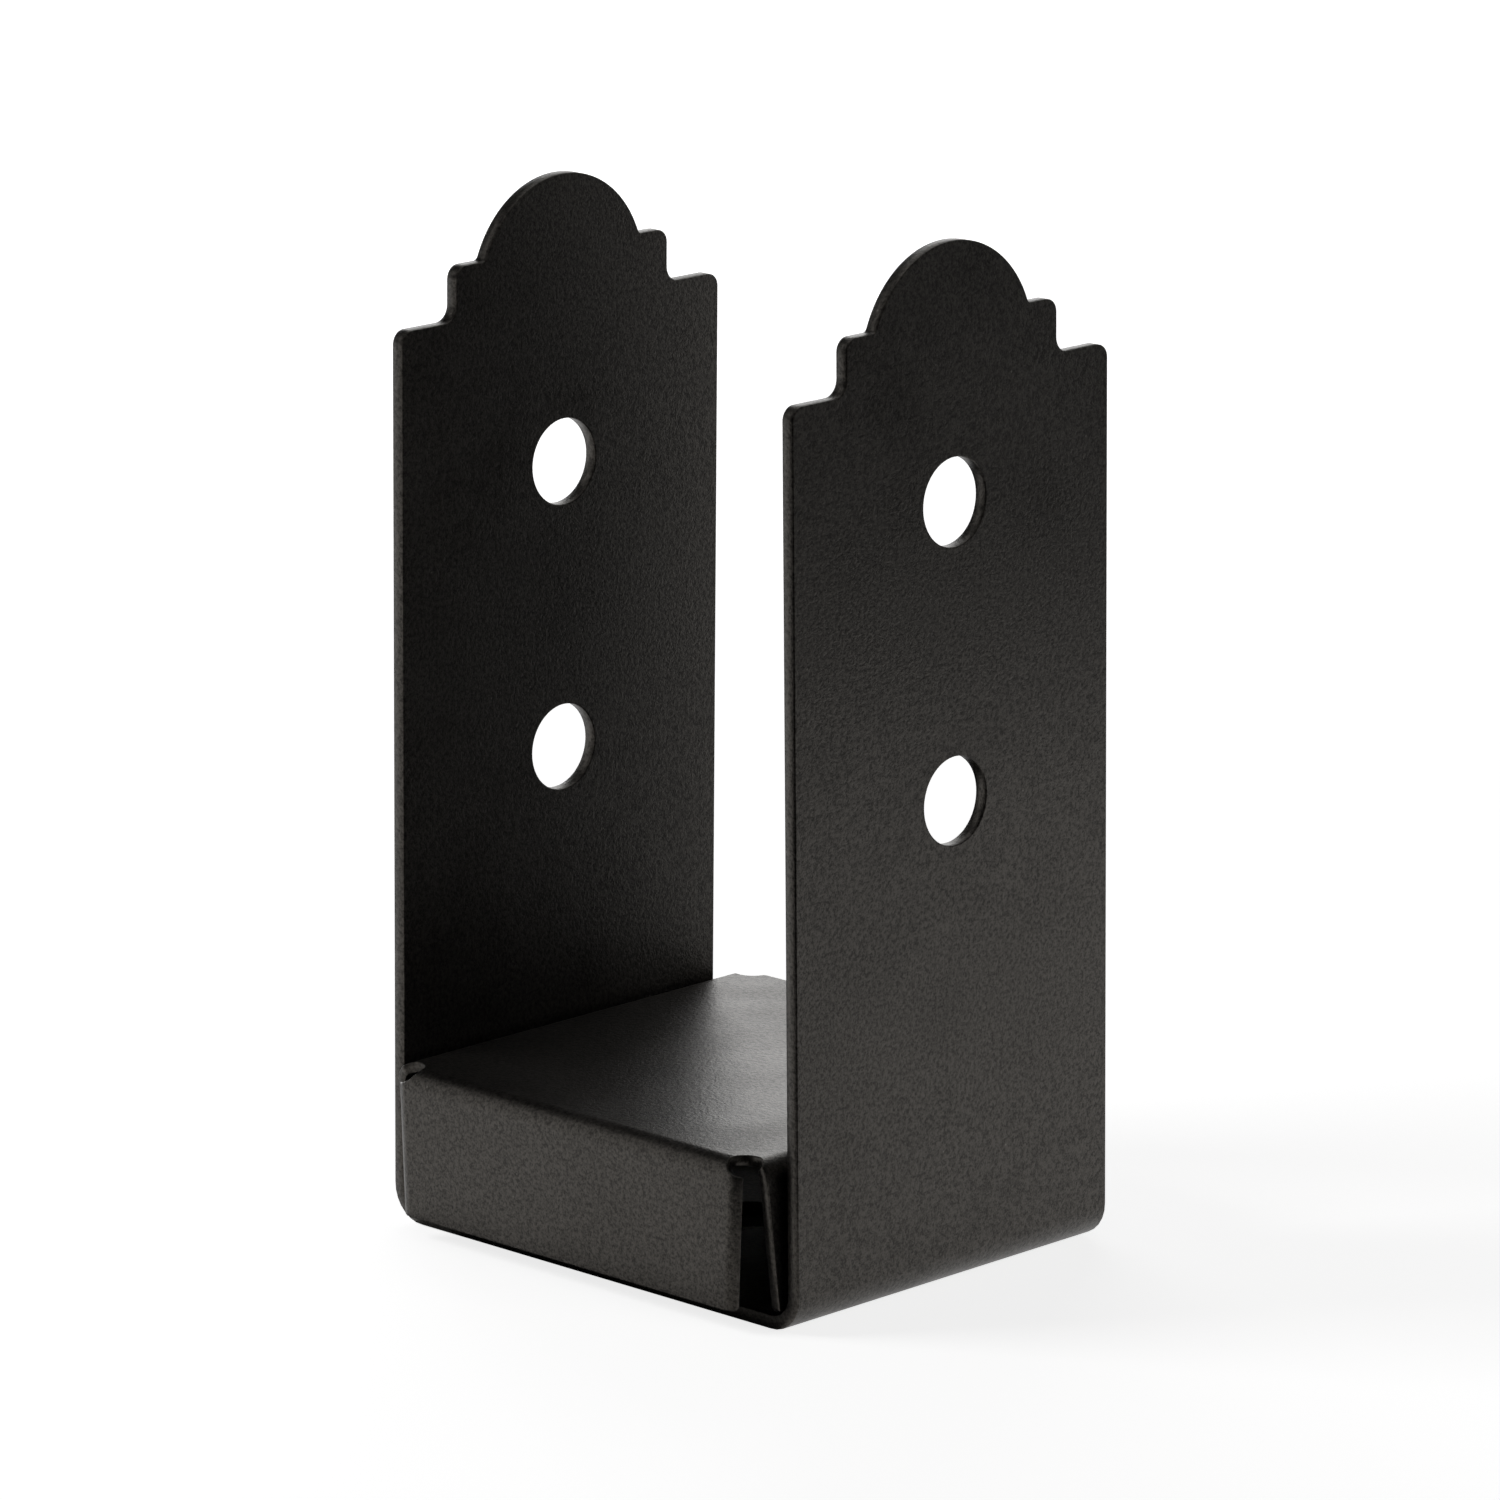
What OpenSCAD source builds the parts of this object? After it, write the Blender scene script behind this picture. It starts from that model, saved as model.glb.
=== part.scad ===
// Post base for a timber post: a bolted U strap with a shaped top, and a loose
// standoff tray that lifts the post's end off the concrete.
// Millimetres, +Z up. X runs across the pocket, from flange to flange. Y runs
// along the strap's width. The origin is under the middle of the strap's base.

/* [Strap sheet] */
// Clear width of the pocket at the foot of the flanges
pocket_w = 91.9; // [70:0.1:150]
// Width of the strap, along Y
strap_w = 76.2; // [60:0.1:140]
// Thickness of the strap's sheet with its coat
strap_t = 2.5; // [2:0.1:5]
// Inside radius of the strap's two bends
strap_bend_r = 3.8; // [2:0.1:8]
// Angle that each flange leans in over the pocket, so that it springs onto the post
flange_lean = 0.6; // [0:0.1:1]

/* [Flange outline] */
// Height of the flange's square shoulders over the ground
shoulder_z = 156.7; // [120:0.1:260]
// How far the step stands in from the strap's edge
step_inset = 12.7; // [6:0.1:14]
// Height of the step over the shoulders
step_rise = 9.5; // [7:0.1:20]
// Radius of the arch on top of the step
arch_r = 19.7; // [15:0.1:21]
// Height of the arch's crown over the shoulders
crown_rise = 22.4; // [21:0.1:30]
// Radius of the outline's outward corners
corner_r = 2.4; // [1:0.1:3.4]
// Radius of the inward corner at the foot of the step
fillet_r = 2.8; // [1:0.1:3.4]
// Radius of the inward corner at the foot of the arch
arch_foot_r = 1; // [0.5:0.1:2.5]

/* [Holes] */
// Diameter of the bolt holes in the flanges
bolt_d = 15.2; // [8:0.1:20]
// Distance between the two bolt holes of a flange
bolt_pitch = 50.8; // [30:0.1:80]
// Height of the right flange's lower bolt hole
right_bolt_z = 84.5; // [60:0.1:100]
// How much lower the left flange's holes sit, so that screws from both sides miss
bolt_stagger = 6.7; // [0:0.1:20]
// Diameter of the anchor hole in the strap's base
anchor_d = 14.3; // [8:0.1:30]

/* [Standoff tray] */
// Thickness of the tray's sheet with its coat
tray_t = 1.9; // [1:0.1:3]
// Height of the tray, from the lower edge of its walls to its top
tray_h = 26.5; // [20:0.1:40]
// Length of the tray over its front and back lips, along Y
tray_len = 89.8; // [84:0.1:160]
// Gap between a side wall of the tray and the foot of the strap's flange
side_gap = 1.75; // [1:0.05:5]
// Outside radius of the tray's bends
tray_bend_r = 3.3; // [3:0.1:5]
// Gap between the tray's lower edge and the strap's bend that carries it
seat_gap = 0.2; // [0.1:0.05:0.5]
// How far the top ends of a side wall stand in from the tray's lips
wall_inset = 3.8; // [3.6:0.1:6]
// How much shorter a side wall is at each lower end
wall_taper = 2.9; // [0:0.1:4]
// How far the top ends of a lip stand in from the tray's sides
lip_inset = 3.2; // [2:0.1:5]
// Lean of a lip's ends, which makes the lip shorter toward its lower edge
lip_lean = 2.5; // [0:2.5:10]
// Outside radius of the curl at a lip's ends
curl_r = 3.2; // [3.1:0.1:8]
// Angle by which a lip's ends curl back
curl_turn = 55; // [10:1:75]
// How far the relief slots cut into the sheet on both sides of a lip's bend
relief_cut = 0.1; // [0.1:0.05:0.6]
// Length of the relief slots, from the end of the lip
relief_len = 3.3; // [2.7:0.1:8]

/* [Hidden] */
$fn = 96;
coat = [0.12, 0.12, 0.115];
past = 5;
half_pocket = pocket_w / 2;
half_strap = strap_w / 2;
strap_out = half_pocket + strap_t;
bend_x = half_pocket - strap_bend_r;
bend_z = strap_bend_r + strap_t;
step_half = half_strap - step_inset;
step_z = shoulder_z + step_rise;
top_z = shoulder_z + crown_rise;
arch_z = top_z - arch_r;
// Faces that would only touch along a line overlap by a hair, so that no sliver is left there.
hair = 0.001;
foot_z = step_z + arch_foot_r;
foot_y = sqrt(pow(arch_r + arch_foot_r, 2) - pow(max(0, foot_z - arch_z), 2)) - hair;
left_bolt_z = right_bolt_z - bolt_stagger;
// The tray's lower edges stand in the strap's bends, where the sheet curves up.
tray_out = half_pocket - side_gap;
reach = max(0, strap_bend_r - side_gap);
seat_z = bend_z - sqrt(pow(strap_bend_r, 2) - pow(reach, 2));
// Rounded to a hundredth, so that the tray's parts meet at exactly the same heights.
fine = 0.01;
tray_z = round((seat_z + seat_gap) / fine) * fine;
tray_top = tray_z + tray_h;
fold_z = tray_top - tray_bend_r;
half_tray = tray_len / 2;
wall_end = half_tray - wall_inset;
lip_end = tray_out - lip_inset;
curl_x = lip_end - curl_r * sin(curl_turn);
relief_r = round(((wall_inset + tray_bend_r) / sqrt(8) + relief_cut) / fine) * fine;
relief_side = 2 * relief_r;
fold_half = min(lip_end - relief_len + relief_r, tray_out - tray_bend_r);

// A rectangle that stands on y = low, with its two upper corners rounded
module crowned(half, low, high, r) {
    translate([-half, low]) square([2 * half, high - low - r]);
    translate([r - half, low]) square([2 * (half - r), high - low]);
    for (side = [-1, 1]) translate([side * (half - r), high - r]) circle(r);
}

// What fills an inward corner at the origin that opens to +X and +Y
module corner_fill(r) {
    difference() {
        square(r);
        translate([r, r]) circle(r);
    }
}

// Draws a shape given in X and Z, and gives it a length along Y
module along_y(length) {
    rotate([90, 0, 0]) linear_extrude(length, center = true) children();
}

// Draws a shape given in Y and Z, and gives it a length along X
module along_x(length) {
    rotate([90, 0, 90]) linear_extrude(length, center = true) children();
}

// The tray's section: a flat top, two bends and two upright walls below it
module channel_2d(half, height, t, r_out) {
    difference() {
        crowned(half, 0, height, r_out);
        translate([0, -past]) crowned(half - t, 0, height - t + past, r_out - t);
    }
}

// The arch, with the small inward corners at its feet
module arch_2d() {
    translate([0, arch_z]) circle(arch_r);
    translate([-arch_r, 0]) square([2 * arch_r, arch_z]);
    for (side = [0, 1]) mirror([side, 0]) difference() {
        polygon([[0, shoulder_z], [foot_y, shoulder_z], [foot_y, foot_z], [0, min(arch_z, foot_z)]]);
        translate([foot_y, foot_z]) circle(arch_foot_r);
    }
}

module flange_outline() {
    crowned(half_strap, -past, shoulder_z, corner_r);
    crowned(step_half, 0, step_z, corner_r);
    arch_2d();
    for (side = [0, 1]) mirror([side, 0]) translate([step_half, shoulder_z]) corner_fill(fillet_r);
}

// Half of the strap's section, filled from the middle out to a face r away from the bend's centre
module half_section(r) {
    translate([0, bend_z - r]) square([bend_x, r]);
    translate([bend_x, bend_z]) {
        circle(r);
        rotate(flange_lean) translate([-half_pocket, 0]) square([half_pocket + r - hair, top_z + past]);
    }
}

// The strap's section: a flat base, two bends and two flanges that lean in
module strap_2d() {
    difference() {
        for (side = [0, 1]) mirror([side, 0]) half_section(bend_z);
        for (side = [0, 1]) mirror([side, 0]) half_section(strap_bend_r);
    }
}

// Distance from the middle of the pocket to the middle of a flange's sheet, at a height
function flange_x(z) = half_pocket + strap_t / 2 - (z - bend_z) * tan(flange_lean);

module bolt_holes(side, low_z) {
    for (z = [low_z, low_z + bolt_pitch])
        translate([side * flange_x(z), 0, z])
            rotate([0, 90, 0]) cylinder(h = strap_t + past, d = bolt_d, center = true);
}

module u_strap() {
    color(coat) difference() {
        intersection() {
            along_y(strap_w + past) strap_2d();
            along_x(2 * strap_out + past) flange_outline();
        }
        bolt_holes(1, right_bolt_z);
        bolt_holes(-1, left_bolt_z);
        cylinder(h = 2 * strap_t + past, d = anchor_d, center = true);
    }
}

// The tray's top and side walls, with the walls' ends cut to a taper
module tray_channel() {
    intersection() {
        translate([0, 0, tray_z]) along_y(tray_len) channel_2d(tray_out, tray_h, tray_t, tray_bend_r);
        along_x(2 * tray_out + past) polygon([
            [wall_taper - wall_end, tray_z], [-wall_end, fold_z], [-wall_end, tray_top],
            [wall_end, tray_top], [wall_end, fold_z], [wall_end - wall_taper, tray_z]]);
    }
}

// Bent sheet around the origin, from +Y round toward +X
module bend_2d(r, turn = 90) {
    intersection() {
        difference() {
            circle(r);
            circle(r - tray_t);
        }
        polygon([[0, 0], [0, 2 * r], 2 * r * [sin(turn), cos(turn)]]);
    }
}

// Section of a lip's wall across its curl: flat on the left, curling back on the right
module curl_section() {
    translate([-tray_len, 0]) square([tray_len, tray_t]);
    translate([0, curl_r]) mirror([0, 1]) bend_2d(curl_r, curl_turn);
}

// The right half of the front lip's upright wall
module lip_wall() {
    intersection() {
        translate([curl_x, -half_tray, fold_z]) rotate([0, lip_lean, 0])
            linear_extrude(3 * tray_h, center = true) curl_section();
        along_y(tray_len) translate([0, tray_z]) square([tray_out, fold_z - tray_z]);
    }
}

// The fold between the tray's top and the front lip, with a strip that overlaps the top
module lip_fold() {
    along_x(2 * fold_half) {
        translate([tray_bend_r - half_tray, fold_z]) mirror([1, 0]) bend_2d(tray_bend_r);
        translate([tray_bend_r - half_tray, tray_top - tray_t]) square([wall_inset + past, tray_t]);
    }
}

// A slot with a round end that frees the end of the lip's fold
module relief() {
    translate([lip_end - relief_len + relief_r, wall_inset / 2 - half_tray, fold_z + tray_bend_r / 2])
        rotate([45, 0, 0]) linear_extrude(relief_side + past, center = true) {
            circle(relief_r);
            translate([0, -relief_r]) square([relief_len + past, relief_side]);
        }
}

module lip() {
    difference() {
        union() {
            lip_fold();
            for (side = [0, 1]) mirror([side, 0, 0]) lip_wall();
        }
        for (side = [0, 1]) mirror([side, 0, 0]) relief();
    }
}

module standoff_tray() {
    color(coat) {
        tray_channel();
        for (end = [0, 1]) mirror([0, end, 0]) lip();
    }
}

u_strap();
standoff_tray();
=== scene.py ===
"""Looks of a bolted post base: a U-shaped strap of sheet steel with a loose folded tray.

Both pieces have a black powder coat and stand in a white studio.
"""

import logging
import math
from dataclasses import dataclass, field
from typing import Any, Callable, Sequence

import bmesh
import bpy
from mathutils import Matrix, Vector, geometry


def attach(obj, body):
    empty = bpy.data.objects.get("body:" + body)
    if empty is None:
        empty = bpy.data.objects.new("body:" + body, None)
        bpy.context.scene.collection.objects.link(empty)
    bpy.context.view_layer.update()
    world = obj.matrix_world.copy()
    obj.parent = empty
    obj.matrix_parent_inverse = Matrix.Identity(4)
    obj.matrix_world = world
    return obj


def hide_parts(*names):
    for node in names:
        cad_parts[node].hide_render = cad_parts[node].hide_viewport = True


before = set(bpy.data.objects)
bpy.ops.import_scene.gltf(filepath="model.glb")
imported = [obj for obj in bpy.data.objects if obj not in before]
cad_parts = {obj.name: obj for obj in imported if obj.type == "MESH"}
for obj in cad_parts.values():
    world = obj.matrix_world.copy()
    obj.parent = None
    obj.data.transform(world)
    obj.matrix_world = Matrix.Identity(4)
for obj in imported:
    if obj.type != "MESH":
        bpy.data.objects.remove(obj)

LOG = logging.getLogger("post_base")
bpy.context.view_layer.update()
MM = 0.001
BODY = "root"
LAMP_TARGET = (0.0, 0.0, 0.09)


# Small helpers


def linear(colour: str) -> tuple[float, float, float, float]:
    """Turns an sRGB hex colour to linear light.

    Args:
        colour: Six hex digits after a hash sign.

    Returns:
        Red, green, blue and an alpha of 1.
    """
    parts = [int(colour[i : i + 2], 16) / 255 for i in (1, 3, 5)]
    light = [c / 12.92 if c <= 0.04045 else ((c + 0.055) / 1.055) ** 2.4 for c in parts]
    return (light[0], light[1], light[2], 1.0)


def add_node(
    tree: bpy.types.NodeTree, kind: str, inputs: dict[Any, Any], **settings: Any
) -> bpy.types.Node:
    """Adds a node with its settings and links.

    Args:
        tree: The node tree.
        kind: Blender's name of the node.
        inputs: For each input, by name or number, a socket to link or a value to set.
        settings: The node's own settings.

    Returns:
        The node.
    """
    node = tree.nodes.new(kind)
    for name, value in settings.items():
        setattr(node, name, value)
    for name, value in inputs.items():
        if isinstance(value, bpy.types.NodeSocket):
            tree.links.new(value, node.inputs[name])
        else:
            node.inputs[name].default_value = value
    return node


def blank_material(name: str) -> bpy.types.Material:
    """Makes a material with an empty node tree.

    Args:
        name: The material's name.

    Returns:
        The material.
    """
    made = bpy.data.materials.new(name)
    made.use_nodes = True
    made.node_tree.nodes.clear()
    return made


def turn(vector: Vector, degrees: float) -> Vector:
    """Returns a flat vector turned anticlockwise by an angle in degrees."""
    return Matrix.Rotation(math.radians(degrees), 2) @ vector


def aim(
    item: bpy.types.Object, azimuth: float, elevation: float, distance: float, target: Sequence[float]
) -> None:
    """Adds a camera or a lamp to the scene, away from a target and turned to it.

    Args:
        item: The camera or lamp.
        azimuth: Angle to the right of the object's front, in degrees.
        elevation: Angle over the ground, in degrees.
        distance: Distance from the target, in metres.
        target: The point that it looks at, in metres.
    """
    a, e = math.radians(azimuth), math.radians(elevation)
    back = Vector((math.sin(a) * math.cos(e), -math.cos(a) * math.cos(e), math.sin(e)))
    item.location = Vector(target) + back * distance
    item.rotation_euler = (-back).to_track_quat("-Z", "Y").to_euler()
    bpy.context.scene.collection.objects.link(item)


def span(low: float, high: float, step: float) -> list[float]:
    """Returns evenly spaced values from low to high, both included, at most a step apart."""
    count = max(1, math.ceil((high - low) / step))
    return [low + (high - low) * i / count for i in range(count + 1)]


# Outlines of flat blanks, in mm


@dataclass(frozen=True)
class Corner:
    """A corner of an outline with its rounding radius; the radius is 0 for a plain point."""

    x: float
    y: float
    radius: float = 0.0
    fewest: int = 4

    def rounded(self, before: Vector, after: Vector, spacing: float) -> list[Vector]:
        """Rounds the corner.

        Args:
            before: The point that the outline comes from.
            after: The point that the outline goes to.
            spacing: Greatest distance between points.

        Returns:
            The points of the rounding, both tangent points included.
        """
        tip = Vector((self.x, self.y))
        if not self.radius:
            return [tip]
        to_before, to_after = (before - tip).normalized(), (after - tip).normalized()
        half = to_before.angle(to_after) / 2
        centre = tip + (to_before + to_after).normalized() * self.radius / math.sin(half)
        reach = self.radius / math.tan(half)
        start, end = tip + to_before * reach - centre, tip + to_after * reach - centre
        swept = math.degrees(start.angle_signed(end)) * -1
        count = max(self.fewest, math.ceil(math.radians(abs(swept)) * self.radius / spacing))
        return [centre + turn(start, swept * i / count) for i in range(count + 1)]


@dataclass(frozen=True)
class Arc:
    """An arc of an outline, from one angle to another in degrees, either way round."""

    x: float
    y: float
    radius: float
    start: float
    end: float
    fewest: int = 3

    def at(self, degrees: float) -> Vector:
        """Returns the arc's point at an angle."""
        return Vector((self.x, self.y)) + turn(Vector((self.radius, 0)), degrees)

    def points(self, spacing: float) -> list[Vector]:
        """Draws the arc.

        Args:
            spacing: Greatest distance between points.

        Returns:
            The points, both ends included.
        """
        swept = self.end - self.start
        count = max(self.fewest, math.ceil(math.radians(abs(swept)) * self.radius / spacing))
        return [self.at(self.start + swept * i / count) for i in range(count + 1)]


def outline(
    parts: Sequence[Corner | Arc], spacing: float = 0.5, longest: float = 1.5, touching: float = 1e-4
) -> list[Vector]:
    """Draws an open run of an outline from its corners and arcs.

    Args:
        parts: Corners and arcs in order; the first and last are plain ends.
        spacing: Greatest distance between points on curves.
        longest: Greatest distance between points on straight stretches.
        touching: Distance under which two points are one.

    Returns:
        The points in order.
    """
    ends = [
        (p.at(p.start), p.at(p.end)) if isinstance(p, Arc) else (Vector((p.x, p.y)), Vector((p.x, p.y)))
        for p in parts
    ]
    run: list[Vector] = []
    for i, part in enumerate(parts):
        if isinstance(part, Arc):
            new = part.points(spacing)
        elif i in (0, len(parts) - 1):
            new = [ends[i][0]]
        else:
            new = part.rounded(ends[i - 1][1], ends[i + 1][0], spacing)
        if run:
            gap = new[0] - run[-1]
            count = max(1, math.ceil(gap.length / longest))
            run += [run[-1] + gap * k / count for k in range(1, count)]
            if gap.length < touching:
                new = new[1:]
        run += new
    return run


def four_fold(quarter: Sequence[Vector]) -> list[Vector]:
    """Mirrors a quarter of an outline to a whole closed one.

    Args:
        quarter: Points from the first axis to the second, anticlockwise, both ends on an axis.

    Returns:
        The closed outline, anticlockwise, with no point twice.
    """
    flips = [(1, 1), (-1, 1), (-1, -1), (1, -1)]
    whole: list[Vector] = []
    for i, (flip_x, flip_y) in enumerate(flips):
        run = quarter if i % 2 == 0 else list(reversed(quarter))
        whole += [Vector((p.x * flip_x, p.y * flip_y)) for p in run[:-1]]
    return whole


def hole_edge(x: float, y: float, radius: float, count: int = 72) -> list[Vector]:
    """Draws the edge of a round hole.

    Args:
        x: Centre.
        y: Centre.
        radius: The hole's radius.
        count: Number of points.

    Returns:
        The points, clockwise, so that the sheet lies on their left.
    """
    return [Vector((x, y)) + turn(Vector((radius, 0)), -360 * i / count) for i in range(count)]


def inside(point: Vector, loop: Sequence[Vector]) -> bool:
    """Tells whether a flat point lies in a closed outline.

    Args:
        point: The point.
        loop: The outline's points.

    Returns:
        True where it does.
    """
    hits = 0
    for a, b in zip(loop, [*loop[1:], loop[0]]):
        if (a.y > point.y) != (b.y > point.y):
            hits += point.x < a.x + (point.y - a.y) * (b.x - a.x) / (b.y - a.y)
    return hits % 2 == 1


def nearest(point: Vector, others: Sequence[Vector]) -> float:
    """Returns a point's distance to the nearest of some others."""
    return min((point - other).length for other in others)


# Folded sheets

Fold = Callable[[float, float, float], Vector]


@dataclass
class Shell:
    """The points, shading directions and faces of a mesh in the making, in mm."""

    points: list[Vector] = field(default_factory=list)
    normals: list[Vector] = field(default_factory=list)
    faces: list[tuple[int, ...]] = field(default_factory=list)

    def add(self, point: Vector, normal: Vector) -> int:
        """Adds a point with its shading direction.

        Args:
            point: The point.
            normal: Its shading direction.

        Returns:
            The point's number.
        """
        self.points.append(point)
        self.normals.append(normal)
        return len(self.points) - 1

    def link(self, name: str) -> bpy.types.Object:
        """Makes the mesh and adds it to the scene.

        Args:
            name: The piece's name.

        Returns:
            The new object, in metres.
        """
        mesh = bpy.data.meshes.new(name)
        mesh.from_pydata([p * MM for p in self.points], [], self.faces)
        outward = bmesh.new()
        outward.from_mesh(mesh)
        bmesh.ops.recalc_face_normals(outward, faces=outward.faces)
        outward.to_mesh(mesh)
        outward.free()
        mesh.polygons.foreach_set("use_smooth", [True] * len(mesh.polygons))
        mesh.normals_split_custom_set_from_vertices(self.normals)
        mesh.validate()
        piece = bpy.data.objects.new(name, mesh)
        bpy.context.scene.collection.objects.link(piece)
        return piece


@dataclass(frozen=True)
class Border:
    """A rounded edge of a sheet: the flat faces' outline, and the shell's points on it on both faces."""

    flat: list[Vector]
    outer: list[int]
    inner: list[int]


@dataclass
class FoldedSheet:
    """A sheet cut flat, with its edges rounded by the coat, and then folded.

    The fold takes a place on the flat blank and a depth under its outer face, in mm, and gives the point in
    the object's frame. The cut edge is shaded as a bead: its shading directions stop short of square by the
    pillow's angle on the outer side.
    """

    thickness: float
    edge_round: float
    fold: Fold
    outer: list[Vector]
    holes: list[list[Vector]]
    rows: list[list[Vector]]
    spots: list[Vector]
    rim_steps: int = 5
    pillow: float = 22.0
    probe: float = 0.02
    sliver: float = 1e-3
    weld: float = 1e-6

    def rim(self) -> list[tuple[float, float, float]]:
        """Draws the edge's section.

        Returns:
            For each of its points the inset, the depth and the angle from the outer face's direction.
        """
        r, n = self.edge_round, self.rim_steps
        turns = [math.pi / 2 * i / n for i in range(n + 1)]
        lean = 1 - self.pillow / 90
        front = [(r * (1 - math.sin(a)), r * (1 - math.cos(a)), a * lean) for a in turns]
        back = [(inset, self.thickness - depth, math.pi - a) for inset, depth, a in reversed(front)]
        return front + back

    def face_direction(self, u: float, v: float, depth: float) -> Vector:
        """Returns the outer face's direction at a place of the folded sheet."""
        return (self.fold(u, v, depth - self.probe) - self.fold(u, v, depth + self.probe)).normalized()

    def edge_direction(self, at: Vector, out: Vector, depth: float) -> Vector:
        """Finds where a flat outward direction points once the sheet is folded.

        Args:
            at: Place on the blank.
            out: Outward direction on the blank.
            depth: Depth under the outer face.

        Returns:
            The direction in the object's frame.
        """
        near, far = at - out * self.probe, at + out * self.probe
        return (self.fold(far.x, far.y, depth) - self.fold(near.x, near.y, depth)).normalized()

    def wrap(self, loop: Sequence[Vector], shell: Shell) -> Border:
        """Adds the rounded edge along a closed outline.

        Args:
            loop: The outline's points, with the sheet on their left.
            shell: The mesh in the making.

        Returns:
            The edge's border with the flat faces.
        """
        count = len(loop)
        outs = []
        for i in range(count):
            along = loop[(i + 1) % count] - loop[i - 1]
            outs.append(Vector((along.y, -along.x)).normalized())
        grid = []
        for inset, depth, angle in self.rim():
            row = []
            for at, out in zip(loop, outs):
                place = at - out * inset
                facing = self.face_direction(place.x, place.y, depth)
                beside = self.edge_direction(place, out, depth)
                normal = (facing * math.cos(angle) + beside * math.sin(angle)).normalized()
                row.append(shell.add(self.fold(place.x, place.y, depth), normal))
            grid.append(row)
        for upper, lower in zip(grid, grid[1:]):
            for i in range(count):
                j = (i + 1) % count
                shell.faces.append((upper[i], upper[j], lower[j], lower[i]))
        return Border([at - out * self.edge_round for at, out in zip(loop, outs)], grid[0], grid[-1])

    def divide(self, borders: Sequence[Border]) -> tuple[list[Vector], list[list[int]], list[list[int]]]:
        """Divides the flat blank into triangles.

        Args:
            borders: The outer border and the holes' borders.

        Returns:
            The corners, the triangles, anticlockwise, and for each corner the numbers of its places.
        """
        places = [at for border in borders for at in border.flat]
        edges: list[tuple[int, int]] = []
        start = 0
        for border in borders:
            count = len(border.flat)
            edges += [(start + i, start + (i + 1) % count) for i in range(count)]
            start += count
        for row in self.rows:
            edges += [(len(places) + i, len(places) + i + 1) for i in range(len(row) - 1)]
            places += row
        made = geometry.delaunay_2d_cdt(places + self.spots, edges, [], 1, self.weld, True)
        corners, triangles, origins = made[0], made[2], made[3]
        kept = []
        for triangle in triangles:
            a, b, c = (corners[i] for i in triangle)
            doubled = (b - a).cross(c - a)
            longest = max((b - a).length, (c - b).length, (a - c).length)
            middle = (a + b + c) / 3
            if abs(doubled) < self.sliver * longest or not inside(middle, borders[0].flat):
                continue
            if not any(inside(middle, hole.flat) for hole in borders[1:]):
                kept.append(list(triangle) if doubled > 0 else list(reversed(triangle)))
        return corners, kept, origins

    def build(self, name: str) -> bpy.types.Object:
        """Makes the folded sheet's mesh.

        Args:
            name: The piece's name.

        Returns:
            The new object, in metres.
        """
        shell = Shell()
        borders = [self.wrap(loop, shell) for loop in (self.outer, *self.holes)]
        corners, triangles, origins = self.divide(borders)
        border_outer = [i for border in borders for i in border.outer]
        border_inner = [i for border in borders for i in border.inner]
        outer: dict[int, int] = {}
        inner: dict[int, int] = {}
        for triangle in triangles:
            for key in triangle:
                if key in outer:
                    continue
                source = next((o for o in origins[key] if o < len(border_outer)), None)
                if source is not None:
                    outer[key], inner[key] = border_outer[source], border_inner[source]
                    continue
                at = corners[key]
                for side, depth, sign in ((outer, 0.0, 1), (inner, self.thickness, -1)):
                    facing = self.face_direction(at.x, at.y, depth) * sign
                    side[key] = shell.add(self.fold(at.x, at.y, depth), facing)
            shell.faces.append(tuple(outer[i] for i in triangle))
            shell.faces.append(tuple(inner[i] for i in reversed(triangle)))
        return shell.link(name)


# Finishes


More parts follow.
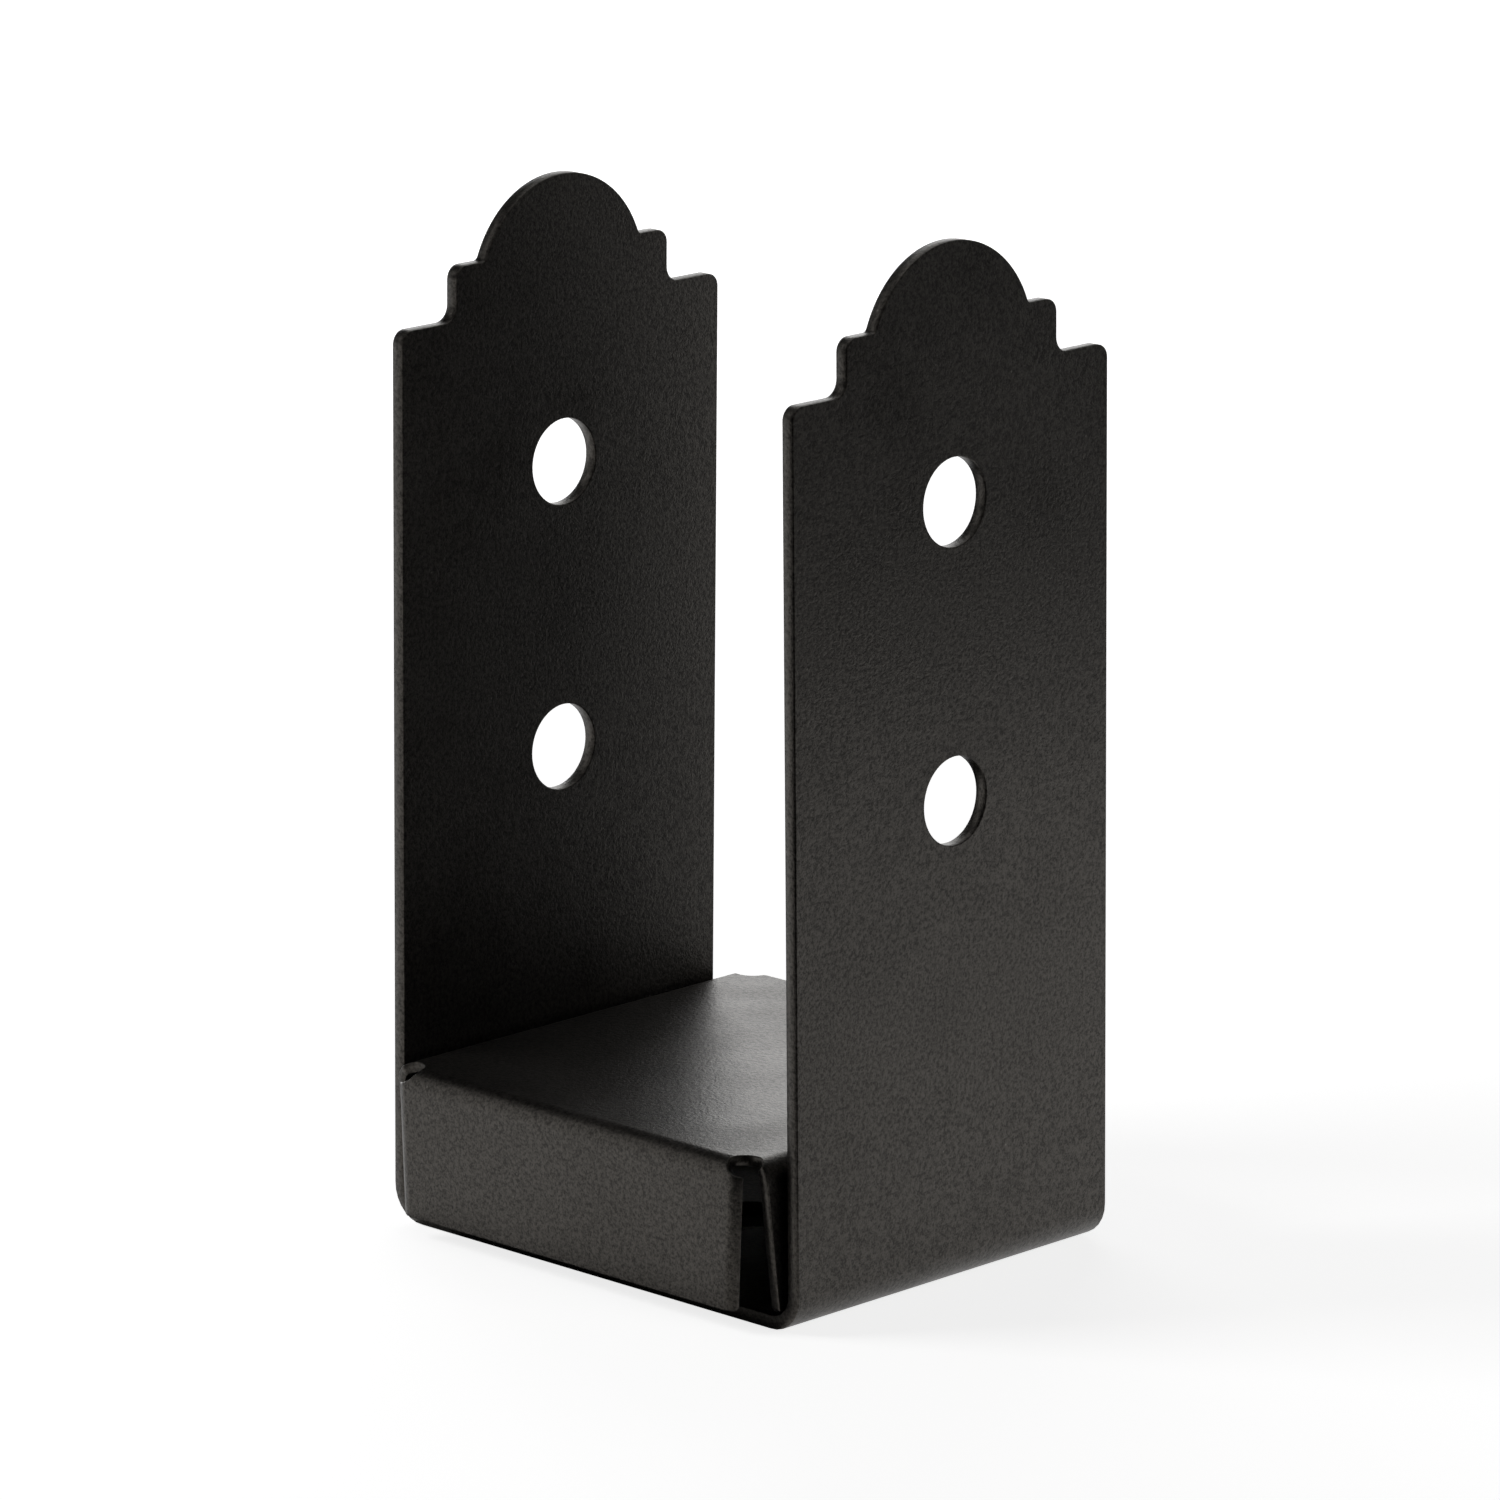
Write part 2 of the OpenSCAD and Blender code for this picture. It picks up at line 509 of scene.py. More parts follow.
@dataclass(frozen=True)
class TexturedPowderCoat:
    """Black polyester powder coat with a fine leather-like texture, sprayed and baked on sheet steel.

    The melted powder draws together into low, soft-edged grains under a millimetre wide with pores between
    them. The pores are painted darker and less shiny than the grains' tops, a painted shade in the hollows.
    To the eye this gives a satin black that breaks each reflection up into a fine mottle.
    """

    name: str = "textured_black_powder_coat"
    colour: str = "#0c0b0b"
    # The pores' darker colour is a painted shade in the hollows between the grains.
    pore_shade_colour: str = "#050505"
    dust_colour: str = "#6b6964"
    ior: float = 1.5
    roughness: tuple[float, float] = (0.36, 0.46)
    # The pores' lower Specular IOR Level is a painted shade on their reflections.
    sheen: tuple[float, float] = (0.3, 0.76)
    sheen_tint: str = "#fff5e8"
    grain_mm: float = 0.75
    pore_mm: float = 0.36
    pore_share: float = 0.3
    grain_top: tuple[float, float] = (0.48, 0.78)
    cloud_mm: float = 18.0
    cloud_range: tuple[float, float] = (0.3, 0.7)
    speck_mm: float = 5.5
    speck_edge: tuple[float, float] = (0.02, 0.045)
    speck_share: float = 0.6
    relief_mm: float = 0.075

    def height(self, tree: bpy.types.NodeTree, place: bpy.types.NodeSocket) -> bpy.types.NodeSocket:
        """Adds the coat's height, from soft grains and the pores between them.

        Args:
            tree: The node tree.
            place: The place on the object.

        Returns:
            The height's socket.
        """
        grain = add_node(
            tree,
            "ShaderNodeTexNoise",
            {"Vector": place, "Scale": 1 / (self.grain_mm * MM), "Detail": 3.0, "Roughness": 0.65},
        ).outputs[0]
        pore = add_node(
            tree,
            "ShaderNodeTexVoronoi",
            {"Vector": place, "Scale": 1 / (self.pore_mm * MM), "Smoothness": 0.6},
            feature="SMOOTH_F1",
        ).outputs["Distance"]
        parts = {0: pore, 1: self.pore_share, 2: grain}
        return add_node(tree, "ShaderNodeMath", parts, operation="MULTIPLY_ADD").outputs[0]

    def dusted(
        self, tree: bpy.types.NodeTree, place: bpy.types.NodeSocket, grain: bpy.types.NodeSocket
    ) -> bpy.types.NodeSocket:
        """Adds the coat's colour, darker in the pores as a painted shade, and with a few pale specks of
        dust.

        Args:
            tree: The node tree.
            place: The place on the object.
            grain: 1 on top of a grain and 0 in a pore.

        Returns:
            The colour's socket.
        """
        speck = add_node(
            tree,
            "ShaderNodeTexVoronoi",
            {"Vector": place, "Scale": 1 / (self.speck_mm * MM), "Randomness": 1.0},
        ).outputs["Distance"]
        near, far = self.speck_edge
        dust = add_node(
            tree,
            "ShaderNodeMapRange",
            {"Value": speck, "From Min": near, "From Max": far, "To Min": self.speck_share, "To Max": 0.0},
        ).outputs[0]
        # Painted shade: the pores take the darker colour.
        layers = {0: grain, 6: linear(self.pore_shade_colour), 7: linear(self.colour)}
        coat = add_node(tree, "ShaderNodeMix", layers, data_type="RGBA").outputs[2]
        layers = {0: dust, 6: coat, 7: linear(self.dust_colour)}
        return add_node(tree, "ShaderNodeMix", layers, data_type="RGBA").outputs[2]

    def material(self) -> bpy.types.Material:
        """Makes the material.

        Returns:
            The material.
        """
        made = blank_material(self.name)
        tree = made.node_tree
        place = add_node(tree, "ShaderNodeTexCoord", {}).outputs["Object"]
        height = self.height(tree, place)
        relief = {"Height": height, "Strength": 1.0, "Distance": self.relief_mm * MM}
        bump = add_node(tree, "ShaderNodeBump", relief).outputs[0]
        low, high = self.grain_top
        top = {"Value": height, "From Min": low, "From Max": high}
        grain = add_node(tree, "ShaderNodeMapRange", top).outputs[0]
        cloud = {"Vector": place, "Scale": 1 / (self.cloud_mm * MM), "Detail": 4.0}
        cloud = add_node(tree, "ShaderNodeTexNoise", cloud).outputs[0]
        low, high = self.cloud_range
        smooth, rough = self.roughness
        gloss = {"Value": cloud, "From Min": low, "From Max": high, "To Min": smooth, "To Max": rough}
        # Painted shade: the pores reflect less than the grains' tops.
        low, high = self.sheen
        shine = {"Value": grain, "To Min": low, "To Max": high}
        shader = add_node(
            tree,
            "ShaderNodeBsdfPrincipled",
            {
                "Base Color": self.dusted(tree, place, grain),
                "Roughness": add_node(tree, "ShaderNodeMapRange", gloss).outputs[0],
                "Specular IOR Level": add_node(tree, "ShaderNodeMapRange", shine).outputs[0],
                "Specular Tint": linear(self.sheen_tint),
                "IOR": self.ior,
                "Normal": bump,
            },
        ).outputs[0]
        add_node(tree, "ShaderNodeOutputMaterial", {"Surface": shader})
        return made


@dataclass(frozen=True)
class ReflectionOnlyBlack:
    """A black matt finish for cards that only reflections see: painted dark reflections on the coat."""

    name: str = "painted_reflection_black"
    colour: str = "#050505"

    def material(self) -> bpy.types.Material:
        """Makes the material.

        Returns:
            The material.
        """
        made = blank_material(self.name)
        card_black = {"Color": linear(self.colour)}
        dark_reflection = add_node(made.node_tree, "ShaderNodeBsdfDiffuse", card_black).outputs[0]
        add_node(made.node_tree, "ShaderNodeOutputMaterial", {"Surface": dark_reflection})
        return made


def mirrored(tree: bpy.types.NodeTree, path: bpy.types.Node) -> bpy.types.NodeSocket:
    """Adds a node that gives 1 for what is seen mirrored or through glass.

    Args:
        tree: The node tree.
        path: Its Light Path node.

    Returns:
        The socket.
    """
    kinds = {0: path.outputs["Is Glossy Ray"], 1: path.outputs["Is Transmission Ray"]}
    return add_node(tree, "ShaderNodeMath", kinds, operation="MAXIMUM").outputs[0]


def outside(tree: bpy.types.NodeTree, limits: tuple[float, float]) -> bpy.types.NodeSocket:
    """Adds nodes that give 1 outside a rectangle around the floor's middle.

    Args:
        tree: The node tree.
        limits: Half of the rectangle's sides, in metres.

    Returns:
        The socket.
    """
    place = add_node(tree, "ShaderNodeTexCoord", {}).outputs["Object"]
    far = []
    for axis, limit in zip(add_node(tree, "ShaderNodeSeparateXYZ", {0: place}).outputs, limits):
        size = add_node(tree, "ShaderNodeMath", {0: axis}, operation="ABSOLUTE").outputs[0]
        past = add_node(tree, "ShaderNodeMath", {0: size, 1: limit}, operation="GREATER_THAN")
        far.append(past.outputs[0])
    return add_node(tree, "ShaderNodeMath", {0: far[0], 1: far[1]}, operation="MAXIMUM").outputs[0]


@dataclass(frozen=True)
class MattWhitePaint:
    """Matt white emulsion, rolled on a studio floor: an even white that shows the object's soft shadow.

    It glows where the camera or a reflection sees it, but not in a rectangle under the object, so that it
    does not shine up through the anchor hole, nor for reflections in a larger rectangle round the object's
    foot. There the floor shows its real lit shade, and the larger rectangle is a painted shade: mirrored,
    the floor near the object looks darker than the camera sees it.
    """

    name: str = "matt_white_floor"
    colour: str = "#f4f4f4"
    glow: float = 0.8
    shade: tuple[float, float] = (0.036, 0.033)
    # Painted shade for reflections: a larger unlit rectangle round the object's foot.
    mirrored_shade: tuple[float, float] = (0.044, 0.053)

    def material(self) -> bpy.types.Material:
        """Makes the material.

        Returns:
            The material.
        """
        made = blank_material(self.name)
        tree = made.node_tree
        path = add_node(tree, "ShaderNodeLightPath", {})
        direct = {0: path.outputs["Is Camera Ray"], 1: outside(tree, self.shade)}
        direct = add_node(tree, "ShaderNodeMath", direct, operation="MULTIPLY").outputs[0]
        # Painted shade: mirrored rays see no glow near the object.
        glossy = {0: mirrored(tree, path), 1: outside(tree, self.mirrored_shade)}
        glossy = add_node(tree, "ShaderNodeMath", glossy, operation="MULTIPLY").outputs[0]
        shown = add_node(tree, "ShaderNodeMath", {0: direct, 1: glossy}, operation="MAXIMUM").outputs[0]
        strength = {0: shown, 1: self.glow}
        strength = add_node(tree, "ShaderNodeMath", strength, operation="MULTIPLY").outputs[0]
        light = {"Color": linear("#ffffff"), "Strength": strength}
        light = add_node(tree, "ShaderNodeEmission", light).outputs[0]
        matt = add_node(tree, "ShaderNodeBsdfDiffuse", {"Color": linear(self.colour)}).outputs[0]
        both = add_node(tree, "ShaderNodeAddShader", {0: light, 1: matt}).outputs[0]
        add_node(tree, "ShaderNodeOutputMaterial", {"Surface": both})
        return made


def dress(piece: bpy.types.Object, node: str, material: bpy.types.Material) -> None:
    """Gives a piece its finish and puts it in its CAD node's place.

    Args:
        piece: The piece.
        node: The CAD node that it stands for.
        material: The finish.
    """
    piece.data.materials.append(material)
    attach(piece, BODY)
    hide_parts(node)
    LOG.info("%s: %d faces, for %s", piece.name, len(piece.data.polygons), node)


# The strap


@dataclass
class Strap:
    """The U-shaped strap: a flat base, two round bends and two upright flanges with shaped tops.

    Sizes are in mm and lengths on the blank are along the outer face. The last six fields space out the
    mesh's points.
    """

    pocket: float = 91.9
    width: float = 76.2
    sheet: float = 2.5
    bend: float = 6.3
    lean: float = math.radians(0.6)
    shoulder: float = 156.7
    step: float = 166.2
    crown: float = 179.1
    step_inset: float = 12.7
    arch: float = 19.7
    arch_foot: float = 1.0
    corner: float = 2.4
    fillet: float = 2.8
    bolt: float = 7.6
    bolt_shift: float = 0.4
    bolt_pitch: float = 50.8
    right_bolt: float = 84.5
    left_bolt: float = 77.8
    anchor: float = 7.15
    edge_round: float = 0.2
    grid: float = 5.0
    grid_clear: float = 2.0
    bend_clear: float = 2.0
    bend_step: float = 0.6
    row_step: float = 2.0
    row_margin: float = 0.8

    @property
    def out(self) -> float:
        """Distance from the middle to a flange's outer face."""
        return self.pocket / 2 + self.sheet

    @property
    def flat(self) -> float:
        """Distance from the middle to the start of a bend."""
        return self.out - self.bend

    @property
    def rise(self) -> float:
        """Length of a bend along the outer face."""
        return self.bend * (math.pi / 2 + self.lean)

    def run(self, z: float) -> float:
        """Returns the place on the blank of a height on a flange."""
        above = z - self.bend * (1 + math.sin(self.lean))
        return self.flat + self.rise + above / math.cos(self.lean)

    def fold(self, u: float, v: float, depth: float) -> Vector:
        """Folds the blank up into a U.

        Args:
            u: Place along the strap, from the middle of the base.
            v: Place across the strap.
            depth: Depth under the outer face.

        Returns:
            The point in the object's frame.
        """
        side, along = math.copysign(1, u), abs(u)
        if along <= self.flat:
            return Vector((u, v, depth))
        angle = min(along - self.flat, self.rise) / self.bend
        above = max(0.0, along - self.flat - self.rise)
        arm = self.bend - depth
        x = side * (self.flat + arm * math.sin(angle) + above * math.cos(angle))
        return Vector((x, v, self.bend - arm * math.cos(angle) + above * math.sin(angle)))

    def edge(self) -> list[Vector]:
        """Draws the blank's outline.

        Returns:
            The closed outline, anticlockwise.
        """
        half, inner = self.width / 2, self.width / 2 - self.step_inset
        centre = self.run(self.crown - self.arch)
        foot_u = self.run(self.step) + self.arch_foot
        foot_v = math.sqrt((self.arch + self.arch_foot) ** 2 - (foot_u - centre) ** 2)
        lean = math.degrees(math.atan2(foot_v, foot_u - centre))
        quarter = outline(
            [
                Arc(centre, 0, self.arch, 0, lean),
                Arc(foot_u, foot_v, self.arch_foot, lean + 180, 180),
                Corner(self.run(self.step), inner, self.corner),
                Corner(self.run(self.shoulder), inner, self.fillet),
                Corner(self.run(self.shoulder), half, self.corner),
                Corner(0, half),
            ]
        )
        return four_fold(quarter)

    def holes(self) -> list[list[Vector]]:
        """Draws the bolt holes and the anchor hole.

        Returns:
            The holes' edges.
        """
        places = [(1, self.right_bolt), (1, self.right_bolt + self.bolt_pitch)]
        places += [(-1, self.left_bolt), (-1, self.left_bolt + self.bolt_pitch)]
        bolts = [hole_edge(side * self.run(z), self.bolt_shift, self.bolt) for side, z in places]
        return [*bolts, hole_edge(0, 0, self.anchor)]

    def build(self) -> bpy.types.Object:
        """Makes the folded strap.

        Returns:
            The new object.
        """
        outer, holes = self.edge(), self.holes()
        edges = [p for loop in (outer, *holes) for p in loop]
        across = span(self.row_margin - self.width / 2, self.width / 2 - self.row_margin, self.row_step)
        bends = span(self.flat, self.flat + self.rise, self.bend_step)
        rows = [[Vector((side * u, v)) for v in across] for side in (1, -1) for u in bends]
        spots = []
        for u in span(-self.run(self.crown), self.run(self.crown), self.grid):
            if self.flat - self.bend_clear < abs(u) < self.flat + self.rise + self.bend_clear:
                continue
            for v in span(-self.width / 2, self.width / 2, self.grid):
                at = Vector((u, v))
                if nearest(at, edges) > self.grid_clear and inside(at, outer):
                    if not any(inside(at, hole) for hole in holes):
                        spots.append(at)
        sheet = FoldedSheet(self.sheet, self.edge_round, self.fold, outer, holes, rows, spots)
        return sheet.build("strap")

    def dress(self, piece: bpy.types.Object, coat: bpy.types.Material) -> None:
        """Coats the strap and puts it in its CAD node's place."""
        dress(piece, "u_strap", coat)


# The tray


@dataclass
class Tray:
    """The standoff tray: a flat top, two side walls, and a front and a back lip with curled ends.

    Sizes are in mm and lengths on the blank are along the outer face. The last nine fields space out the
    mesh's points.
    """

    out: float = 44.2
    half: float = 44.9
    sheet: float = 1.9
    bend: float = 3.3
    low: float = 3.3
    top: float = 29.8
    wall_end: float = 41.1
    wall_taper: float = 2.9
    wall_foot_r: float = 0.8
    wall_top_r: float = 2.0
    curl: float = 3.2
    curl_turn: float = 55.0
    lip_end: float = 41.0
    lip_lean: float = 2.5
    lip_low: float = 3.8
    lip_top_r: float = 0.3
    lip_foot_r: float = 1.0
    relief: float = 3.2
    relief_at: tuple[float, float] = (40.4, 42.7)
    relief_foot_r: float = 0.5
    relief_lead: float = 12.0
    edge_round: float = 0.2
    grid: float = 4.0
    grid_clear: float = 1.5
    bend_step: float = 0.45
    row_step: float = 2.0
    row_margin: float = 0.9
    curl_step: float = 0.3
    curl_row_step: float = 1.5
    curl_margin: float = 1.0
    curl_clear: float = 0.45

    @property
    def fold_z(self) -> float:
        """Height of the bends' lower ends."""
        return self.top - self.bend

    @property
    def drop(self) -> float:
        """Height of the walls under the bends."""
        return self.fold_z - self.low

    @property
    def lip_drop(self) -> float:
        """Height of the lips under the bends."""
        return self.fold_z - self.lip_low

    @property
    def rise(self) -> float:
        """Length of a bend along the outer face."""
        return self.bend * math.pi / 2

    @property
    def flat_u(self) -> float:
        """Distance from the middle to a side bend."""
        return self.out - self.bend

    @property
    def flat_v(self) -> float:
        """Distance from the middle to a lip's bend."""
        return self.half - self.bend

    @property
    def lip_v(self) -> float:
        """Distance on the blank from the middle to the end of a lip's bend."""
        return self.flat_v + self.rise

    @property
    def wall_u(self) -> float:
        """Distance on the blank from the middle to the end of a side bend."""
        return self.flat_u + self.rise

    @property
    def curl_u(self) -> float:
        """Distance from the middle to the upper end of a curl's start line."""
        return self.lip_end - self.curl * math.sin(math.radians(self.curl_turn))

    @property
    def blank_end(self) -> float:
        """Distance from the middle to the upper end of a lip's cut edge, before it is curled."""
        return self.curl_u + self.curl * math.radians(self.curl_turn)

    def curled(self, u: float, under: float, depth: float) -> tuple[float, float, float]:
        """Curls the end of a lip back.

        Args:
            u: Place along the lip.
            under: Distance under the bend.
            depth: Depth under the outer face.

        Returns:
            The same three once the end is curled.
        """
        lean = math.radians(self.lip_lean)
        past = (abs(u) - self.curl_u) * math.cos(lean) + under * math.sin(lean)
        if past <= 0:
            return u, under, depth
        angle = past / self.curl
        shift = math.sin(angle) * (self.curl - depth) - past
        side = math.copysign(1, u)
        return (
            u + side * shift * math.cos(lean),
            under + shift * math.sin(lean),
            self.curl - (self.curl - depth) * math.cos(angle),
        )

    def side_section(self, flat: float, under: float, depth: float) -> tuple[float, float]:
        """Bends the sheet down at one side.

        Args:
            flat: Distance from the middle to the bend.
            under: Distance past the bend's end, less than 0 in the bend.
            depth: Depth under the outer face.

        Returns:
            The distance from the middle and the height.
        """
        if under >= 0:
            return flat + self.bend - depth, self.fold_z - under
        angle = (under + self.rise) / self.bend
        arm = self.bend - depth
        return flat + arm * math.sin(angle), self.fold_z + arm * math.cos(angle)

    def fold(self, u: float, v: float, depth: float) -> Vector:
        """Folds the blank down at its four sides.

        Args:
            u: Place across the post's width, from flange to flange.
            v: Place from front to back.
            depth: Depth under the outer face.

        Returns:
            The point in the object's frame.
        """
        if abs(v) > self.flat_v:
            x, under, depth = self.curled(u, abs(v) - self.lip_v, depth)
            y, z = self.side_section(self.flat_v, under, depth)
            return Vector((x, math.copysign(y, v), z))
        if abs(u) > self.flat_u:
            x, z = self.side_section(self.flat_u, abs(u) - self.wall_u, depth)
            return Vector((math.copysign(x, u), v, z))
        return Vector((u, v, self.top - depth))

    def edge(self) -> list[Vector]:
        """Draws the blank's outline, with its tapered walls, relief holes and lips.

        Returns:
            The closed outline, anticlockwise.
        """
        bottom_u = self.wall_u + self.drop
        bottom_v = self.lip_v + self.lip_drop
        lip_taper = self.lip_drop * math.tan(math.radians(self.lip_lean))
        hole_u, hole_v = self.relief_at
        wall_reach = math.sqrt(self.relief**2 - (hole_v - self.wall_end) ** 2)
        wall_angle = math.degrees(math.atan2(self.wall_end - hole_v, wall_reach))
        quarter = outline(
            [
                Corner(bottom_u, 0),
                Corner(bottom_u, self.wall_end - self.wall_taper, self.wall_foot_r),
                Corner(self.wall_u, self.wall_end, self.wall_top_r),
                Corner(hole_u + wall_reach, self.wall_end, self.relief_foot_r),
                Arc(hole_u, hole_v, self.relief, wall_angle - self.relief_lead, -270),
                Corner(self.blank_end, hole_v + self.relief, self.lip_top_r),
                Corner(self.blank_end - lip_taper, bottom_v, self.lip_foot_r),
                Corner(0, bottom_v),
            ],
            spacing=0.3,
            longest=1.0,
        )
        return four_fold(quarter)

    def bend_rows(self) -> list[list[Vector]]:
        """Lays rows of points along the four bends, clear of the relief holes.

        Returns:
            The rows.
        """
        hole_u, hole_v = self.relief_at
        rows: list[list[Vector]] = []
        for bend in span(self.flat_u, self.wall_u, self.bend_step):
            aside = min(abs(bend - hole_u), self.relief)
            reach = min(self.wall_end, hole_v - math.sqrt(self.relief**2 - aside**2)) - self.row_margin
            line = [Vector((bend, v)) for v in span(-reach, reach, self.row_step)]
            rows += [line, [Vector((-p.x, p.y)) for p in line]]
        reach = hole_u - self.relief - self.row_margin
        for bend in span(self.flat_v, self.lip_v, self.bend_step):
            line = [Vector((u, bend)) for u in span(-reach, reach, self.row_step)]
            rows += [line, [Vector((p.x, -p.y)) for p in line]]
        return rows

    def curl_rows(self) -> list[list[Vector]]:
        """Lays rows of points down the four curls.

        Returns:
            The rows.
        """
        rows: list[list[Vector]] = []
        tilt = math.tan(math.radians(self.lip_lean))
        heights = span(self.curl_margin, self.lip_drop - self.curl_margin, self.curl_row_step)
        for offset in span(0, self.blank_end - self.curl_u - self.curl_clear, self.curl_step):
            line = [Vector((self.curl_u - under * tilt + offset, self.lip_v + under)) for under in heights]
            for flip_u, flip_v in ((1, 1), (-1, 1), (-1, -1), (1, -1)):
                rows.append([Vector((p.x * flip_u, p.y * flip_v)) for p in line])
        return rows

    def build(self) -> bpy.types.Object:
        """Makes the folded tray.

        Returns:
            The new object.
        """
        outer = self.edge()
        rows = self.bend_rows() + self.curl_rows()
        placed = [p for row in rows for p in row]
        bottom_u = self.wall_u + self.drop
        bottom_v = self.lip_v + self.lip_drop
        spots = []
        for u in span(-bottom_u, bottom_u, self.grid):
            for v in span(-bottom_v, bottom_v, self.grid):
                at = Vector((u, v))
                if inside(at, outer) and min(nearest(at, outer), nearest(at, placed)) > self.grid_clear:
                    spots.append(at)
        sheet = FoldedSheet(self.sheet, self.edge_round, self.fold, outer, [], rows, spots)
        return sheet.build("tray")

    def dress(self, piece: bpy.types.Object, coat: bpy.types.Material) -> None:
        """Coats the tray and puts it in its CAD node's place."""
        dress(piece, "standoff_tray", coat)


# Studio


@dataclass(frozen=True)
class PhotoCamera:
    """The camera at the photograph's place, found from about 250 outline points of the photograph."""

    azimuth: float = 44.111
    elevation: float = 13.973
    distance: float = 1.43398
    target: tuple[float, float, float] = (0.000306, 0.0, 0.085104)
    focal_px: float = 8423.0
    frame_px: float = 1500.0
    sensor_mm: float = 36.0
    near: float = 0.05
    far: float = 60.0

    def build(self) -> bpy.types.Object:
        """Makes the camera and sets it as the scene's.

        Returns:
            The camera.
        """
        data = bpy.data.cameras.new("camera")
        data.sensor_width = self.sensor_mm
        data.lens = self.focal_px * self.sensor_mm / self.frame_px
        data.clip_start, data.clip_end = self.near, self.far
        camera = bpy.data.objects.new("camera", data)
        aim(camera, self.azimuth, self.elevation, self.distance, self.target)
        bpy.context.scene.camera = camera
        return camera


@dataclass(frozen=True)
class Softbox:
    """A square soft lamp that looks at the object."""

    name: str
    azimuth: float
    elevation: float
    distance: float
    size: float
    watts: float

    def build(self) -> bpy.types.Object:
        """Makes the lamp.

        Returns:
            The lamp.
        """
        data = bpy.data.lights.new(self.name, "AREA")
        data.shape = "SQUARE"
        data.size = self.size
        data.energy = self.watts
        lamp = bpy.data.objects.new(self.name, data)
        aim(lamp, self.azimuth, self.elevation, self.distance, LAMP_TARGET)
        return lamp


@dataclass(frozen=True)
class Flag:
    """A flat black card beside the object that is only seen in its reflections: a painted dark reflection.
    Lamps shine through it unless it shades, when it casts a real shadow.

    Its two corners are given in metres: aside of the camera's line of sight, deep (away from the camera)
    and up, or in the object's own frame where it is turned by 0. They share one of the three, and the card
    spans the other two.
    """

    name: str
    low: tuple[float, float, float]
    high: tuple[float, float, float]
    shades: bool = False
    turned: float = PhotoCamera.azimuth

    def build(self, dark_reflection: bpy.types.Material) -> bpy.types.Object:
        """Makes the card.

        Args:
            dark_reflection: The card's finish.

        Returns:
            The card.
        """
        flat = next(i for i in range(3) if self.low[i] == self.high[i])
        first, second = (i for i in range(3) if i != flat)
        corners = []
        for a, b in ((0, 0), (1, 0), (1, 1), (0, 1)):
            place = list(self.low)
            place[first] = (self.low, self.high)[a][first]
            place[second] = (self.low, self.high)[b][second]
            aside = turn(Vector(place[:2]), self.turned)
            corners.append((aside.x, aside.y, place[2]))
        mesh = bpy.data.meshes.new(self.name)
        mesh.from_pydata(corners, [], [(0, 1, 2, 3)])
        mesh.materials.append(dark_reflection)
        card = bpy.data.objects.new(self.name, mesh)
        bpy.context.scene.collection.objects.link(card)
        card.visible_camera = False
        card.visible_diffuse = False
        card.visible_shadow = self.shades
        card.visible_transmission = False
        return card


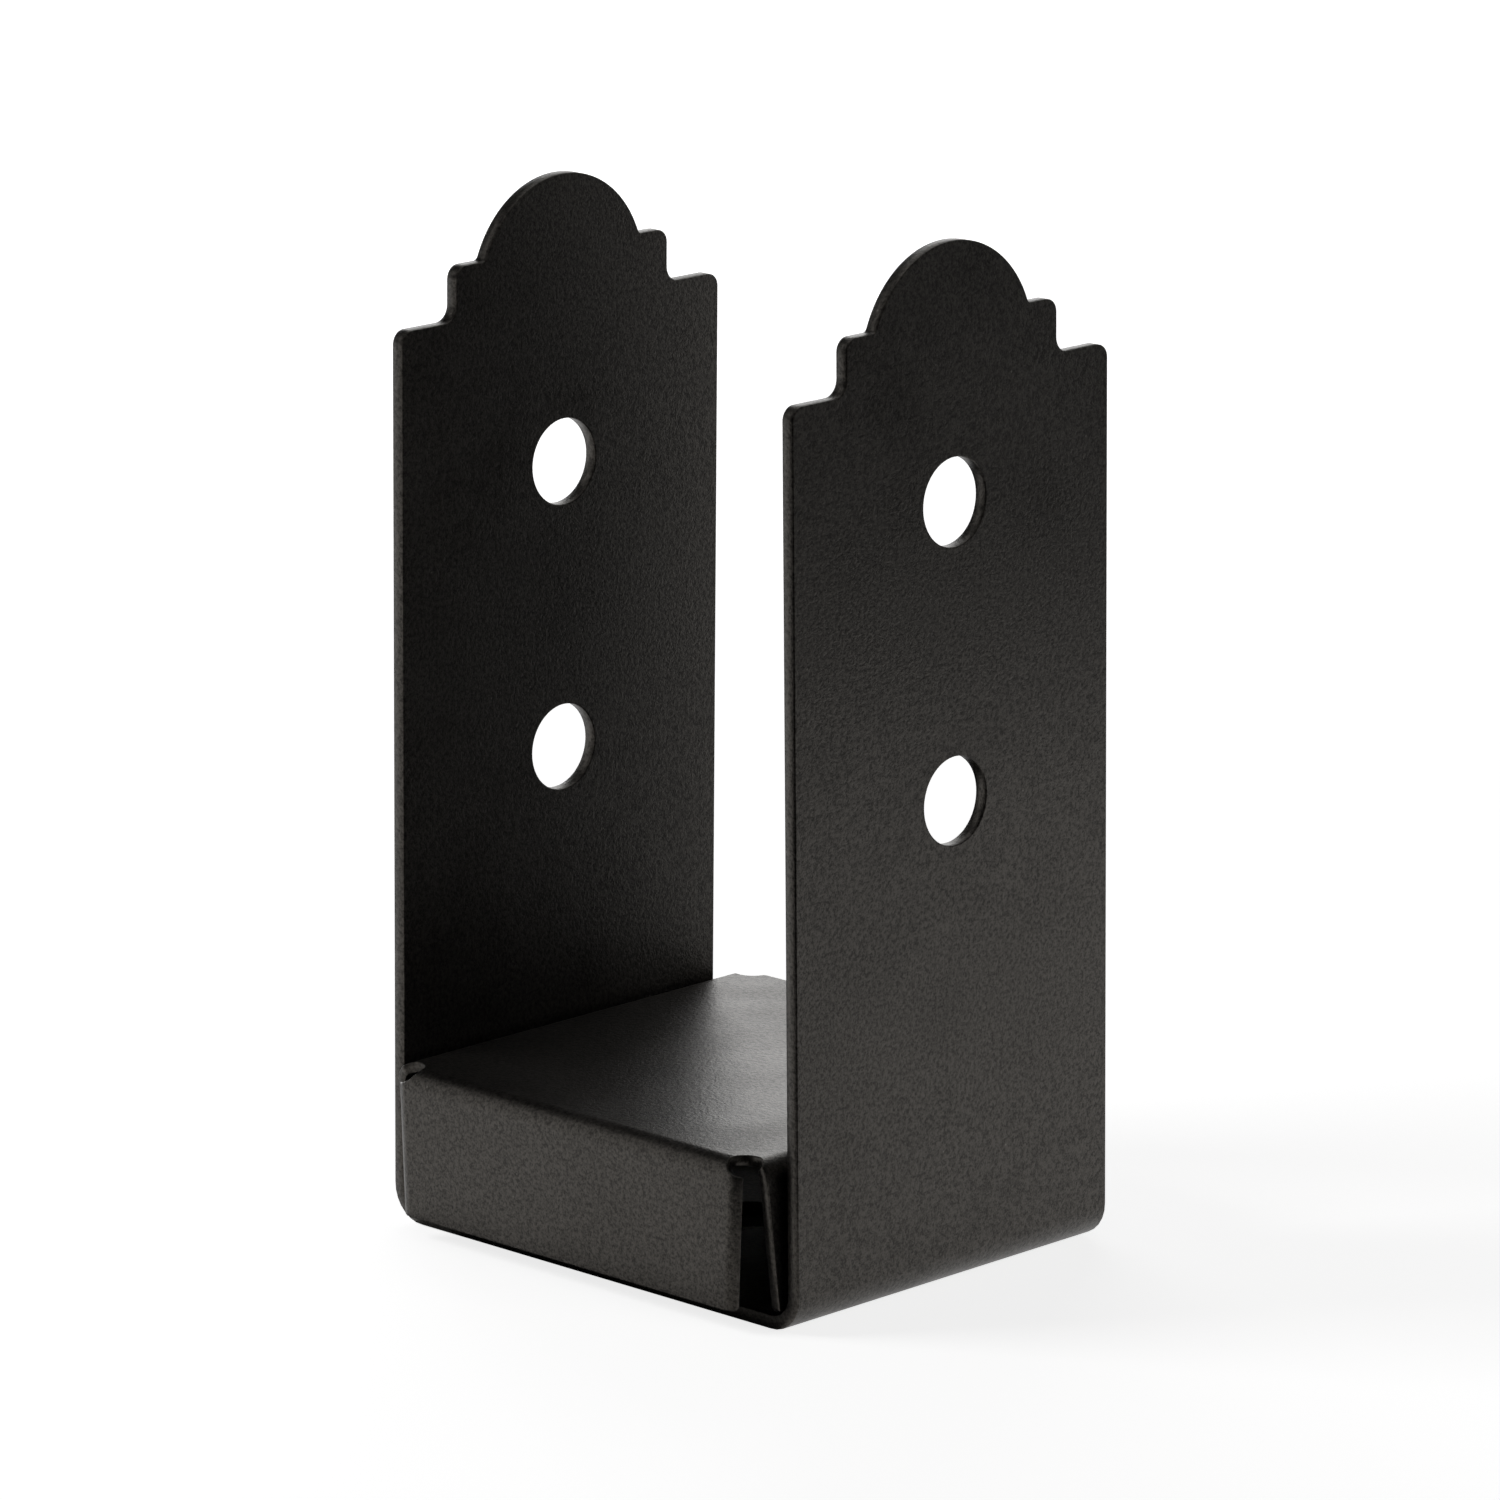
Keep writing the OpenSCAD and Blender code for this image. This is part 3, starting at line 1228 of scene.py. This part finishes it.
@dataclass
class Studio:
    """A pale floor in a white room, with soft lamps and black cards that paint dark reflections."""

    floor_half: float = 4.0
    floor_gap: float = 0.0002
    room_grey: float = 0.04
    lamps: list[Softbox] = field(
        default_factory=lambda: [
            Softbox("right_softbox", azimuth=95, elevation=8, distance=1.6, size=0.9, watts=3.9),
            Softbox("front_softbox", azimuth=-45, elevation=36, distance=1.5, size=0.6, watts=4.5),
            Softbox("left_softbox", azimuth=246, elevation=4, distance=1.2, size=0.3, watts=2),
            Softbox("back_softbox", azimuth=224, elevation=17, distance=1.4, size=0.8, watts=3),
        ]
    )
    # Painted reflections: these cards are only seen in the coat's reflections; gap_card also casts a real
    # shadow.
    flags: list[Flag] = field(
        default_factory=lambda: [
            Flag("near_card", (0.065, -0.002, 0.0), (0.065, 0.060, 0.3)),
            Flag("far_card", (0.25, -0.3, 0.055), (0.25, 0.05, 0.8)),
            Flag("left_card", (-0.35, -0.6, 0.16), (-0.35, 0.2, 1.0)),
            Flag("front_card", (-0.06, -0.1, 0.0), (0.2, -0.1, 0.3)),
            Flag("low_back_card", (-0.09, 0.075, 0.0), (0.05, 0.075, 0.024)),
            Flag("gap_card", (-0.014, 0.066, 0.0), (0.012, 0.066, 0.03), shades=True),
            Flag("toe_card", (-0.05, -0.0462, 0.0), (0.039, -0.0462, 0.0032), turned=0.0),
            Flag("overhead_card", (-1.2, -0.4, 0.45), (-0.08, 0.9, 0.45)),
        ]
    )

    def world(self) -> None:
        """Makes the room: white where it is seen or mirrored, and plain grey where it lights the object."""
        world = bpy.data.worlds.new("white_room")
        world.use_nodes = True
        tree = world.node_tree
        tree.nodes.clear()
        path = add_node(tree, "ShaderNodeLightPath", {})
        seen = {0: path.outputs["Is Camera Ray"], 1: mirrored(tree, path)}
        seen = add_node(tree, "ShaderNodeMath", seen, operation="MAXIMUM").outputs[0]
        strength = {"Value": seen, "To Min": self.room_grey, "To Max": 1.0}
        strength = add_node(tree, "ShaderNodeMapRange", strength).outputs[0]
        light = {"Color": linear("#ffffff"), "Strength": strength}
        light = add_node(tree, "ShaderNodeBackground", light).outputs[0]
        add_node(tree, "ShaderNodeOutputWorld", {"Surface": light})
        bpy.context.scene.world = world

    def floor(self) -> bpy.types.Object:
        """Makes the floor, a hair under the object.

        Returns:
            The floor.
        """
        half = self.floor_half
        corners = [(-half, -half, 0), (half, -half, 0), (half, half, 0), (-half, half, 0)]
        mesh = bpy.data.meshes.new("floor")
        mesh.from_pydata(corners, [], [(0, 1, 2, 3)])
        mesh.materials.append(MattWhitePaint().material())
        floor = bpy.data.objects.new("floor", mesh)
        floor.location.z = -self.floor_gap
        bpy.context.scene.collection.objects.link(floor)
        return floor

    def build(self) -> None:
        """Makes the room, the floor, the lamps and the cards."""
        self.world()
        self.floor()
        for lamp in self.lamps:
            lamp.build()
        # Painted reflections: a black finish for cards that only reflections see.
        dark_card_finish = ReflectionOnlyBlack().material()
        for flag in self.flags:
            flag.build(dark_card_finish)


def main() -> None:
    """Builds the object, the studio and the camera."""
    logging.basicConfig(level=logging.INFO, format="%(message)s")
    bpy.context.scene.view_settings.view_transform = "Standard"
    PhotoCamera().build()
    coat = TexturedPowderCoat().material()
    for part in (Strap(), Tray()):
        part.dress(part.build(), coat)
    Studio().build()


if __name__ == "__main__":
    main()
